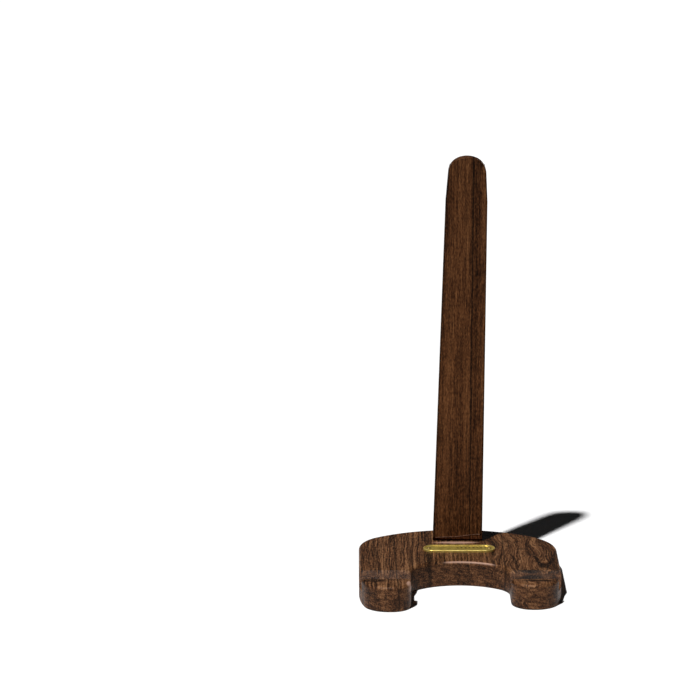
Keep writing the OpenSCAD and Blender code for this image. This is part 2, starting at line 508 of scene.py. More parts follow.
    def make(self) -> Material:
        """Builds the material."""
        sheet = Sheet(self.name)
        at = Board(sheet, self)
        tone = (self._tone(at) * self.contrast + 0.5).kept()
        heart = self._heart(at)
        pores = at.noise(PORES).rise(0.58, 0.68)
        colour = self._colour(at, tone, heart, pores)
        height = tone * 0.35 - pores * 0.5 - heart * 0.2
        if self.cut is Cut.RAW:
            saw = at.noise(SAW)
            share = (saw.rise(0.3, 0.7) + 0.5) * self.raw_share * at.across.rise(10.0, -10.0)
            colour = sheet.mix(share.kept(), colour, self.raw_tint)
            normal = sheet.bump(height + saw * 0.8, 0.22 * MM)
            return sheet.surface({"Base Color": colour, "Roughness": 0.86, "Normal": normal,
                                  "Specular IOR Level": 0.02})
        rough = at.noise(HANDLING) * 0.16 + 0.40 + pores * 0.25
        normal = sheet.bump(height, 0.14 * MM)
        return sheet.surface({"Base Color": colour, "Roughness": rough, "Normal": normal,
                              "Specular IOR Level": self.shine})


BRUSHING = Layer((2.6, 0.16, 0.4), detail=3.0, roughness=0.6)
CLOUDS = Layer((2.2, 1.3, 1.0), detail=3.0, roughness=0.6)
SPECKS = Layer((0.42, 0.3, 1.0), detail=1.0)
PAPER = Layer((40.0, 40.0, 1.0))


@dataclass(frozen=True)
class BrassFinish:
    """Old polished brass: bright on its rim, darker and greener in its engraved field."""

    name: str
    bright: Colour = (0.84, 0.65, 0.20)
    wear_and_sheen: Colour = (0.60, 0.43, 0.10)
    patina: Colour = (0.235, 0.165, 0.050)
    polish: float = 0.30
    stain: float = 0.35

    def make(self) -> Material:
        """Builds the material."""
        sheet = Sheet(self.name)
        place = sheet.place()
        brushed = sheet.noise(BRUSHING, *place)
        cloud = sheet.noise(CLOUDS, *place)
        specks = sheet.noise(SPECKS, *place).rise(0.58, 0.70)
        colour = sheet.mix(cloud.rise(0.35, 0.65), self.bright, self.wear_and_sheen)
        dirt = (specks * 0.7 + cloud.rise(0.45, 0.75) * 0.6) * self.stain
        colour = sheet.mix(dirt.kept(), colour, self.patina)
        rough = brushed * 0.14 + self.polish + dirt * 0.4
        normal = sheet.bump(brushed * 0.5 + cloud * 0.5, 0.04 * MM)
        return sheet.surface({"Base Color": colour, "Metallic": 0.72, "Roughness": rough, "Normal": normal})


@dataclass(frozen=True)
class FloorFinish:
    """Plain matt white paper."""

    name: str = "white_paper"
    colour: Colour = (0.87, 0.87, 0.87)
    shaded: Colour = (0.80, 0.80, 0.80)

    def make(self) -> Material:
        """Builds the material."""
        sheet = Sheet(self.name)
        fleck = sheet.noise(PAPER, *sheet.place())
        colour = sheet.mix(fleck * 0.04, self.colour, self.shaded)
        return sheet.surface({"Base Color": colour, "Roughness": 0.95, "Specular IOR Level": 0.1})


# ---- shape tools


def stand_in_scene(name: str, data: Any) -> Object:
    """Makes an object of some data and puts it in the scene."""
    made = bpy.data.objects.new(name, data)
    bpy.context.scene.collection.objects.link(made)
    return made


def face_outward(mesh: BMesh) -> None:
    """Turns every face of a closed mesh outward."""
    bmesh.ops.recalc_face_normals(mesh, faces=mesh.faces[:])


class Pen:
    """Draws a closed outline on the ground plane, one straight or round stretch at a time."""

    def __init__(self, mesh: BMesh, start: tuple[float, float]) -> None:
        """Puts the pen down in a mesh, at x and y."""
        self.mesh = mesh
        self.tip = mesh.verts.new((*start, 0.0))

    def line(self, x: float, y: float) -> "Pen":
        """Draws a straight stretch to x, y."""
        made = bmesh.ops.extrude_vert_indiv(self.mesh, verts=[self.tip])
        self.tip = made["verts"][0]
        self.tip.co = Vector((x, y, 0.0))
        return self

    def arc(self, centre: tuple[float, float], degrees: float, steps: int) -> "Pen":
        """Draws a round stretch.

        Args:
            centre: x and y of its centre.
            degrees: how far it turns, anticlockwise when positive.
            steps: how many edges it takes.

        Returns:
            The pen.
        """
        made = bmesh.ops.spin(self.mesh, geom=[self.tip], cent=(*centre, 0.0), axis=(0, 0, 1),
                              dvec=(0, 0, 0), angle=math.radians(degrees), steps=steps)
        self.tip = next(v for v in made["geom_last"] if isinstance(v, BMVert))
        return self

    def close(self) -> BMFace:
        """Joins the last point to the first and fills the outline."""
        bmesh.ops.remove_doubles(self.mesh, verts=self.mesh.verts[:], dist=TINY)
        made = bmesh.ops.contextual_create(self.mesh, geom=self.mesh.edges[:])
        return made["faces"][0]


class Shaper:
    """Small jobs on a bmesh that the pieces share."""

    @staticmethod
    def raise_face(mesh: BMesh, faces: Iterable[BMFace], by: Vector) -> list[BMFace]:
        """Extrudes faces.

        Args:
            mesh: the mesh.
            faces: the faces to pull.
            by: how far and which way.

        Returns:
            The faces at the far end.
        """
        made = bmesh.ops.extrude_face_region(mesh, geom=list(faces))
        moved = [g for g in made["geom"] if isinstance(g, BMVert)]
        bmesh.ops.translate(mesh, verts=moved, vec=by)
        return [g for g in made["geom"] if isinstance(g, BMFace)]

    @staticmethod
    def round_edges(mesh: BMesh, edges: Iterable[BMEdge], size: float,
                    segments: int, slot: int | None = None) -> None:
        """Rounds edges over.

        Args:
            mesh: the mesh.
            edges: the edges.
            size: how far the rounding reaches from each edge.
            segments: how many facets it has.
            slot: the material slot of the rounding, if it isn't its neighbours'.
        """
        made = bmesh.ops.bevel(mesh, geom=list(edges), offset=size, offset_type="OFFSET", segments=segments,
                               profile=0.5, affect="EDGES", clamp_overlap=False, material=-1,
                               loop_slide=True)
        if slot is not None:
            for face in made["faces"]:
                face.material_index = slot

    @staticmethod
    def split(mesh: BMesh, at: Vector, normal: Vector,
              faces: Sequence[BMFace] | None = None) -> None:
        """Cuts faces along a plane, and leaves both sides.

        Args:
            mesh: the mesh.
            at: a point on the plane.
            normal: the plane's normal.
            faces: the faces to cut, or None for all.
        """
        chosen = list(mesh.faces if faces is None else faces)
        geometry = set(chosen)
        for face in chosen:
            geometry.update(face.edges)
            geometry.update(face.verts)
        bmesh.ops.bisect_plane(mesh, geom=list(geometry), dist=TINY * 0.1, plane_co=at, plane_no=normal)

    @staticmethod
    def piece(mesh: BMesh, name: str, finishes: Sequence[Any], sharp_degrees: float = 40.0,
              weighted: bool = True) -> Object:
        """Turns a bmesh into a finished object at the origin.

        Args:
            mesh: the mesh, which is freed.
            name: the piece's name.
            finishes: the finish of each material slot.
            sharp_degrees: the angle from which an edge looks sharp.
            weighted: whether flat faces keep their shading flat beside rounded edges.

        Returns:
            The object.
        """
        face_outward(mesh)
        for face in mesh.faces:
            face.smooth = True
        data = bpy.data.meshes.new(name)
        mesh.to_mesh(data)
        mesh.free()
        data.set_sharp_from_angle(angle=math.radians(sharp_degrees))
        made = stand_in_scene(name, data)
        for finish in finishes:
            data.materials.append(finish.make())
        if weighted:
            modifier = made.modifiers.new("even_shading", "WEIGHTED_NORMAL")
            modifier.keep_sharp = True
            modifier.weight = 50
        return made


def settle(piece: Object, node: str, body: str) -> None:
    """Ties a piece to the CAD part and reports it.

    Args:
        piece: the finished piece.
        node: the CAD node that it stands for.
        body: the CAD body that it moves with.
    """
    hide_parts(node)
    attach(piece, body)
    low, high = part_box(node)
    LOG.info("%s: %d faces, stands for %s (%.1f x %.1f x %.1f mm)", piece.name,
             len(piece.data.polygons), node, *((high - low) / MM))


# ---- base


@dataclass(frozen=True)
class Half:
    """What sets one half of the base's outline apart from the other, in metres."""

    back_r: float
    short: float
    inner_r: float


@dataclass
class HorseshoeBase:
    """The board with two prongs, a slot across each prong and a mortise for the upright."""

    name: str = "base_board"
    left: Half = Half(back_r=67.5 * MM, short=0.0, inner_r=9.5 * MM)
    right: Half = Half(back_r=64.0 * MM, short=3.6 * MM, inner_r=10.6 * MM)
    turn: tuple[float, float] = (0.6, 0.8)
    taper: tuple[float, float] = (0.96, 0.28)
    taper_r: float = 60.0 * MM
    top_round: float = 1.8 * MM
    bottom_round: float = 0.8 * MM
    gap_half: float = 24.3 * MM
    gap_depth: float = 43.6 * MM
    gap_arc_r: float = 32.0 * MM
    tip_outer_r: float = 12.2 * MM
    slot_setback: float = 13.6 * MM
    slot_floor: float = 9.6 * MM
    slot_depth: float = 6.3 * MM
    slot_lean: float = math.radians(38.0)
    front_lip: float = 1.2 * MM
    back_lip: float = 0.35 * MM
    mortise_w: float = 25.6 * MM
    mortise_x: float = 0.25 * MM
    mortise_l: float = 7.4 * MM
    mortise_depth: float = 9.0 * MM
    mortise_lip: float = 0.4 * MM
    veins: tuple[Vein, ...] = (
        Vein(-31.4, 0.7, 0.9, slope=-0.02), Vein(-41.6, 0.5, 0.6), Vein(-37.0, 0.45, 0.5),
        Vein(-24.0, 0.5, 0.6), Vein(22.6, 0.8, 0.85, slope=0.01), Vein(30.4, 0.4, 0.5, slope=-0.03))
    # Dark spots: most are stains in the grain; those along the slots' lips and the right slot's back edge and
    # gap (along y near -22.4, -25.4 and -38.4 to -39.8) are painted shade.
    stains_and_slot_shade: tuple[Mark, ...] = (
        Mark(-14.6, -3.0, 14.0, 1.9, 90.0, 0.85), Mark(39.0, -7.5, 18.0, 1.5, 97.5, 1.0),
        Mark(45.4, -7.5, 21.0, 1.3, 79.0, 1.0), Mark(34.0, -22.4, 7.5, 1.5, -4.0, 1.0),
        Mark(33.5, -25.4, 10.5, 2.0, 4.0, 1.0), Mark(37.5, -39.4, 10.0, 2.2, -2.0, 0.9),
        Mark(27.4, -5.0, 18.0, 0.9, 97.0, 0.8), Mark(32.5, 14.5, 4.0, 1.6, -5.0, 0.75),
        Mark(33.0, 3.0, 5.0, 0.7, 60.0, 0.6), Mark(40.5, 20.0, 6.0, 1.2, -20.0, 0.55),
        Mark(-42.5, -39.8, 8.5, 2.6, -4.0, 0.85), Mark(-33.0, -38.4, 7.0, 1.2, 2.0, 0.55))
    # Pale spots: wear at the mortise's front lip and a chip at the left prong's inner lip; the strip on the
    # left prong's outer edge is a painted highlight.
    rubs_and_highlights: tuple[Mark, ...] = (
        Mark(-0.6, 25.8, 13.6, 2.2, 0.0, 0.85), Mark(-25.0, -42.0, 4.6, 1.5, 72.0, 1.0),
        Mark(-49.2, -33.0, 9.0, 1.2, 90.0, 0.9))
    low: Vector = field(default_factory=lambda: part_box("base")[0])
    high: Vector = field(default_factory=lambda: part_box("base")[1])

    @property
    def top(self) -> float:
        """Height of the top."""
        return self.high.z

    @property
    def slot_front(self) -> float:
        """Where the front wall of the slots stands, along Y."""
        return self.low.y + self.slot_setback

    @property
    def slot_mid(self) -> float:
        """Where the slots' floor meets their leaning back wall, along Y."""
        return self.slot_front + self.slot_floor

    @property
    def slot_z(self) -> float:
        """Height of the slots' floor."""
        return self.top - self.slot_depth

    @property
    def corner(self) -> Vector:
        """A point of the line where the slots' floor meets their back wall."""
        return Vector((0, self.slot_mid, self.slot_z))

    @property
    def lean(self) -> Vector:
        """Normal of the slots' back wall, pointing into the wood."""
        return Vector((0, math.cos(self.slot_lean), -math.sin(self.slot_lean)))

    @property
    def turned(self) -> float:
        """How far the shoulders and the gap's corners turn, in degrees."""
        return math.degrees(math.atan2(self.turn[1], self.turn[0]))

    def _shoulder(self, half: Half) -> tuple[float, float]:
        """Radius of a shoulder and the place of its centre along Y."""
        radius = (self.high.x - half.back_r * self.turn[0]) / (1 - self.turn[0])
        return radius, self.high.y - half.back_r + (half.back_r - radius) * self.turn[1]

    def _shoulder_arcs(self, pen: Pen, half: Half, side: int) -> None:
        """Draws the shoulder and the back arc of one half.

        Args:
            pen: the pen, at the start of the half.
            half: the half.
            side: 1 for the right one, drawn towards the middle, and -1 for the left one.
        """
        radius, y = self._shoulder(half)
        arcs = [((side * (self.high.x - radius), y), self.turned, 22),
                ((0.0, self.high.y - half.back_r), 90 - self.turned, 24)]
        for arc in arcs[::side]:
            pen.arc(*arc)

    def _prong_arcs(self, pen: Pen, half: Half, side: int) -> None:
        """Draws the tapered side and the tip of one prong.

        Args:
            pen: the pen, at the start of the prong.
            half: the half that the prong belongs to.
            side: -1 for the left prong, drawn towards the gap, and 1 for the right one.
        """
        front, reach = self.low.y + half.short, self.taper_r - self.tip_outer_r
        outer_y = front + self.tip_outer_r
        taper_x, taper_y = side * (self.high.x - self.taper_r), outer_y + reach * self.taper[1]
        outer_x = taper_x + side * reach * self.taper[0]
        inner_x, inner_y = side * (self.gap_half + half.inner_r), front + half.inner_r
        tapered = math.degrees(math.atan2(self.taper[1], self.taper[0]))
        if side < 0:
            pen.line(-self.high.x, taper_y).arc((taper_x, taper_y), tapered, 10)
            pen.arc((outer_x, outer_y), 90 - tapered, 16)
            pen.line(inner_x, front).arc((inner_x, inner_y), 90, 14)
        else:
            pen.line(self.gap_half, inner_y).arc((inner_x, inner_y), 90, 14)
            pen.line(outer_x, front).arc((outer_x, outer_y), 90 - tapered, 16)
            pen.arc((taper_x, taper_y), tapered, 10)

    def _outline(self, mesh: BMesh) -> BMFace:
        """Draws the plan of the board, anticlockwise from its right side."""
        gap_y = self.low.y + self.gap_depth - self.gap_arc_r
        corner_r = (self.gap_half - self.gap_arc_r * self.turn[0]) / (1 - self.turn[0])
        corner_x = self.gap_half - corner_r
        corner_y = gap_y + (self.gap_arc_r - corner_r) * self.turn[1]
        pen = Pen(mesh, (self.high.x, self._shoulder(self.right)[1]))
        self._shoulder_arcs(pen, self.right, 1)
        self._shoulder_arcs(pen, self.left, -1)
        self._prong_arcs(pen, self.left, -1)
        pen.line(-self.gap_half, corner_y).arc((-corner_x, corner_y), -self.turned, 14)
        pen.arc((0.0, gap_y), 2 * self.turned - 180, 30).arc((corner_x, corner_y), -self.turned, 14)
        self._prong_arcs(pen, self.right, 1)
        return pen.close()

    def _board(self) -> BMesh:
        """The solid board with its edges rounded over."""
        mesh = bmesh.new()
        plan = self._outline(mesh)
        Shaper.raise_face(mesh, [plan], Vector((0, 0, self.top)))
        face_outward(mesh)
        rim = [e for e in mesh.edges if all(v.co.z > self.top - TINY for v in e.verts)]
        Shaper.round_edges(mesh, rim, self.top_round, 7)
        sole = [e for e in mesh.edges if all(v.co.z < TINY for v in e.verts)]
        Shaper.round_edges(mesh, sole, self.bottom_round, 3)
        return mesh

    def _behind(self, at: Vector) -> float:
        """How far a point lies behind the leaning back wall."""
        return (at - self.corner).dot(self.lean)

    def _in_slot(self, at: Vector) -> bool:
        """Whether a point is inside the slots' section."""
        return at.z > self.slot_z - TINY and at.y > self.slot_front - TINY and self._behind(at) < TINY

    def _cut_slots(self, mesh: BMesh) -> None:
        """Cuts the slot across each prong and closes its three walls."""
        prongs = [f for f in mesh.faces if f.calc_center_median().y < 0 or len(f.verts) > 20]
        Shaper.split(mesh, Vector((0, self.slot_front, 0)), Vector((0, 1, 0)), prongs)
        for normal in (self.lean, Vector((0, 0, 1))):
            Shaper.split(mesh, self.corner, normal, [f for f in mesh.faces if self._near_slot(f)])
        gone = [f for f in mesh.faces if self._in_slot(f.calc_center_median())
                and all(self._in_slot(v.co) for v in f.verts)]
        bmesh.ops.delete(mesh, geom=gone, context="FACES")
        for side in (-1, 1):
            self._close_slot(mesh, side)

    def _near_slot(self, face: BMFace) -> bool:
        """Whether any corner of a face lies in the stretch of the slots."""
        reach = self.slot_depth * math.tan(self.slot_lean) + self.slot_floor
        ys = [v.co.y for v in face.verts]
        return max(ys) > self.slot_front + TINY and min(ys) < self.slot_front + reach + TINY

    def _close_slot(self, mesh: BMesh, side: int) -> None:
        """Fills the front wall, floor and back wall of one slot.

        Args:
            mesh: the board.
            side: -1 for the left prong and 1 for the right one.
        """
        def rim() -> list[BMEdge]:
            """The open edges of this side."""
            return [e for e in mesh.edges if e.is_boundary and e.verts[0].co.x * side > 0]

        def corners(y: float) -> list[BMVert]:
            """The corners of the slot's floor at y."""
            verts = {v for e in rim() for v in e.verts}
            return [v for v in verts if abs(v.co.z - self.slot_z) < TINY and abs(v.co.y - y) < TINY]

        edges = rim()
        front = bmesh.ops.contextual_create(mesh, geom=corners(self.slot_front))["edges"]
        back = bmesh.ops.contextual_create(mesh, geom=corners(self.slot_mid))["edges"]
        on_front = [e for e in edges if all(abs(v.co.y - self.slot_front) < TINY for v in e.verts)]
        on_back = [e for e in edges if all(abs(self._behind(v.co)) < TINY for v in e.verts)]
        on_floor = [e for e in edges if all(abs(v.co.z - self.slot_z) < TINY for v in e.verts)]
        for wall in (on_front + front, on_back + back, on_floor + front + back):
            bmesh.ops.contextual_create(mesh, geom=wall, mat_nr=1)

    @staticmethod
    def _is_lip(edge: BMEdge) -> bool:
        """Whether an edge parts polished from raw wood."""
        return sorted(f.material_index for f in edge.link_faces) == [0, 1]

    def _soften_slots(self, mesh: BMesh) -> None:
        """Rounds the lips of the slots."""
        def lips(on_wall: Callable[[Vector], bool]) -> list[BMEdge]:
            """The edges between polished and raw wood that lie on a wall."""
            return [e for e in mesh.edges if self._is_lip(e) and all(on_wall(v.co) for v in e.verts)]

        front = lips(lambda at: abs(at.y - self.slot_front) < TINY)
        Shaper.round_edges(mesh, front, self.front_lip, 5, slot=0)
        behind_lip = self.slot_front + self.front_lip / 2
        back = lips(lambda at: at.y > behind_lip and abs(self._behind(at)) < TINY)
        Shaper.round_edges(mesh, back, self.back_lip, 3, slot=1)

    def _cut_mortise(self, mesh: BMesh) -> None:
        """Sinks the hole for the foot of the upright."""
        back = self.high.y - MORTISE_BACK
        front = back - self.mortise_l
        half = self.mortise_w / 2

        def top_faces() -> list[BMFace]:
            """The flat faces of the top."""
            on_top = self.top - TINY
            return [f for f in mesh.faces if f.normal.z > 0.999 and f.calc_center_median().z > on_top]

        def in_strip(at: Vector) -> bool:
            """Whether a point lies between the mortise's front and back."""
            return front - TINY < at.y < back + TINY

        face_outward(mesh)
        for y in (front, back):
            Shaper.split(mesh, Vector((0, y, 0)), Vector((0, 1, 0)), top_faces())
            mesh.normal_update()
        strip = [f for f in top_faces() if front < f.calc_center_median().y < back]
        for x in (self.mortise_x - half, self.mortise_x + half):
            Shaper.split(mesh, Vector((x, 0, 0)), Vector((1, 0, 0)), strip)
            mesh.normal_update()
            strip = [f for f in top_faces() if all(in_strip(v.co) for v in f.verts)]
        mouth = [f for f in strip if abs(f.calc_center_median().x) < half / 2]
        sunk = Vector((-math.sin(LEAN_SIDE), -math.sin(LEAN_BACK), -1.0)) * self.mortise_depth
        floor = Shaper.raise_face(mesh, mouth, sunk)
        for wall in {f for face in floor for edge in face.edges for f in edge.link_faces}:
            wall.material_index = 1
        mesh.normal_update()
        rim = [e for e in mesh.edges if self._is_lip(e)
               and all(abs(v.co.z - self.top) < TINY and in_strip(v.co)
                       and abs(v.co.x - self.mortise_x) < half + TINY for v in e.verts)]
        Shaper.round_edges(mesh, rim, self.mortise_lip, 2, slot=1)

    def build(self) -> None:
        """Builds the base."""
        mesh = self._board()
        self._cut_slots(mesh)
        self._soften_slots(mesh)
        self._cut_mortise(mesh)
        shared = {"grain": Grain.FRONT_TO_BACK, "curl_from": 12.0, "curl_full": 26.0, "veins": self.veins,
                  "stains_and_slot_shade": self.stains_and_slot_shade}
        depth = self.top / MM
        # Painted highlight: the top edge of the gap's arc is painted pale where the key light catches its
        # rounding.
        wear_and_sheen = PaintedEdgeHighlight(centre=(self.low.y + self.gap_depth - self.gap_arc_r) / MM,
                        radius=self.gap_arc_r / MM + 0.5, half_width=0.5, first=-9.0, last=19.0)
        polished = WoodFinish("oiled_wood", wall_from=depth - 0.6, wall_full=depth - 2.2, wear_and_sheen=wear_and_sheen,
                              rubs_and_highlights=self.rubs_and_highlights, pale_marks_above=depth - 3.2, **shared)
        raw = WoodFinish("sawn_wood", cut=Cut.RAW, tint=(0.64, 0.46, 0.34), **shared)
        piece = Shaper.piece(mesh, self.name, [polished, raw])
        settle(piece, "base", "stand")


# ---- upright


@dataclass
class Upright:
    """The tapered post that a tablet leans on, with a round crown and a pared foot."""

    name: str = "upright_post"
    foot_x: float = 0.25 * MM
    foot_w: float = 24.8 * MM
    neck_w: float = 20.6 * MM
    crown_w: float = 18.8 * MM
    thickness: float = 6.8 * MM
    foot_under: float = 8.9 * MM
    neck_below: float = 22.0 * MM
    corner_r: float = 8.0 * MM
    arc_r: float = 12.0 * MM
    above: float = 195.7 * MM
    edge_round: float = 0.7 * MM
    arris_from: float = math.radians(50.0)
    pare_depth: float = 2.0 * MM
    pare_left: float = 1.6 * MM
    pare_right: float = 3.6 * MM
    pare_run: float = 1.3 * MM
    pare_skim: float = 0.25 * MM
    # Half the width of the band along the pared edge that is painted as a highlight.
    pare_line: float = 0.2 * MM
    pare_wave: float = 0.18 * MM
    foot_play: float = 0.3 * MM
    crown_from: float = 0.86
    columns: int = 28
    rows: int = 150

    def _half_width(self, z: float) -> float:
        """Half the width at a height above the base."""
        shoulder = self.above - self.neck_below
        corner_z = self._corner_z()
        if z <= 0:
            return self.foot_w / 2
        if z <= shoulder:
            return (self.foot_w + (self.neck_w - self.foot_w) * z / shoulder) / 2
        share = min(1.0, (z - shoulder) / (corner_z - shoulder))
        return (self.neck_w + (self.crown_w - self.neck_w) * share) / 2

    def _corner_z(self) -> float:
        """Height of the centres of the crown's corner arcs."""
        reach = self.arc_r - self.corner_r
        corner_x = self.crown_w / 2 - self.corner_r
        return self.above - self.arc_r + math.sqrt(reach ** 2 - corner_x ** 2)

    def _crown(self, x: float) -> float:
        """Height of the crown's outline at a distance x from the middle."""
        corner_x = self.crown_w / 2 - self.corner_r
        join = corner_x * self.arc_r / (self.arc_r - self.corner_r)
        x = min(abs(x), self.crown_w / 2)
        if x <= join:
            return self.above - self.arc_r + math.sqrt(self.arc_r ** 2 - x ** 2)
        return self._corner_z() + math.sqrt(max(0.0, self.corner_r ** 2 - (x - corner_x) ** 2))

    def _row_height(self, share: float) -> float:
        """Height of a row, from 0 at the foot's end to 1 at the crown; rows are close near both."""
        stops = ((0.0, -self.foot_under), (0.08, -1.5 * MM), (0.40, 6.0 * MM),
                 (0.72, self.above * self.crown_from), (1.0, self.above))
        for (low, z_low), (high, z_high) in zip(stops, stops[1:]):
            if share <= high + TINY:
                return z_low + (z_high - z_low) * (share - low) / (high - low)
        return self.above

    def _front(self) -> BMesh:
        """The front face as a grid, shaped to the outline."""
        mesh = bmesh.new()
        bmesh.ops.create_grid(mesh, x_segments=self.columns, y_segments=self.rows, size=1.0)
        blend_from = self.above * self.crown_from
        for vert in mesh.verts:
            spread = math.sin(vert.co.x * math.pi / 2)
            z = self._row_height((vert.co.y + 1) / 2)
            x = spread * self._half_width(z)
            if z > blend_from:
                share = (z - blend_from) / (self.above - blend_from)
                z = blend_from + (self._crown(spread * self.crown_w / 2) - blend_from) * share
                x = spread * self._half_width(z)
            vert.co = Vector((x, -self.thickness / 2, z))
        return mesh

    def _pare(self, mesh: BMesh) -> None:
        """Pares the front of the foot back below a wavy line, marks the fresh wood and paints a highlight
        along the line.
        """
        for vert in mesh.verts:
            if vert.co.y > -self.thickness * 0.2:
                continue
            drop = self._pare_edge(vert.co.x) - vert.co.z
            if drop > 0:
                skim = self.pare_skim * min(1.0, drop / self.pare_skim)
                depth = min(1.0, max(0.0, (self.pare_run - vert.co.z) / self.pare_run))
                vert.co.y += skim + (self.pare_depth - self.pare_skim) * depth
        for face in mesh.faces:
            at = face.calc_center_median()
            below = self._pare_edge(at.x) - at.z
            # A thin band along the wavy line gets slot 2, a painted highlight; the rest below it is pared
            # wood.
            if at.y < 0 and below > -self.pare_line:
                face.material_index = 2 if below < self.pare_line and abs(at.x) < self.foot_w * 0.45 else 1

    def _pare_edge(self, x: float) -> float:
        """Height of the upper edge of the pared area."""
        share = x / self.foot_w + 0.5
        climb = 3 * share ** 2 - 2 * share ** 3
        wave = self.pare_wave * math.sin(share * 9.0)
        return self.pare_left + (self.pare_right - self.pare_left) * climb + wave

    def build(self) -> None:
        """Builds the upright."""
        mesh = self._front()
        Shaper.raise_face(mesh, mesh.faces[:], Vector((0, self.thickness, 0)))
        face_outward(mesh)
        mesh.normal_update()
        arris = [e for e in mesh.edges if len(e.link_faces) == 2 and e.calc_face_angle() > self.arris_from
                 and abs(abs(e.verts[0].co.y) - self.thickness / 2) < TINY
                 and abs(e.verts[0].co.y - e.verts[1].co.y) < TINY]
        Shaper.round_edges(mesh, arris, self.edge_round, 4)
        self._pare(mesh)
        _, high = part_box("base")
        seat = Vector((self.foot_x, high.y - MORTISE_BACK - self.foot_play - self.thickness / 2, high.z))
        turn = Matrix.Rotation(LEAN_SIDE, 4, "Y") @ Matrix.Rotation(-LEAN_BACK, 4, "X")
        bmesh.ops.transform(mesh, matrix=Matrix.Translation(seat) @ turn, verts=mesh.verts[:])
        veins = (Vein(6.2, 0.9, 0.95, slope=0.003), Vein(4.2, 0.5, 0.6, slope=0.002, first=20.0, last=75.0),
                 Vein(7.6, 0.45, 0.5, first=15.0, last=90.0))
        dark = {"grain": Grain.UPRIGHT, "contrast": 0.55, "streaky": 1.2, "mottled": 1.3, "mottle_size": 0.5,
                "shade_at_0": 1.24, "shade_at_200": 0.84, "shine": 0.04, "veins": veins}
        wood = WoodFinish("dark_oiled_wood", tint=(0.70, 0.54, 0.38), **dark)
        pared = WoodFinish("pared_wood", tint=(0.66, 0.46, 0.34), **dark)
        # Painted highlight: the thin band along the pared edge is painted pale.
        pale = Mark(0.0, 15.0, 30.0, 9.0, 0.0, 0.8)
        edge = WoodFinish("pared_edge_painted_highlight", tint=(1.0, 0.95, 0.9), rubs_and_highlights=(pale,), **dark)
        piece = Shaper.piece(mesh, self.name, [wood, pared, edge])
        settle(piece, "upright", "upright")


# ---- brass


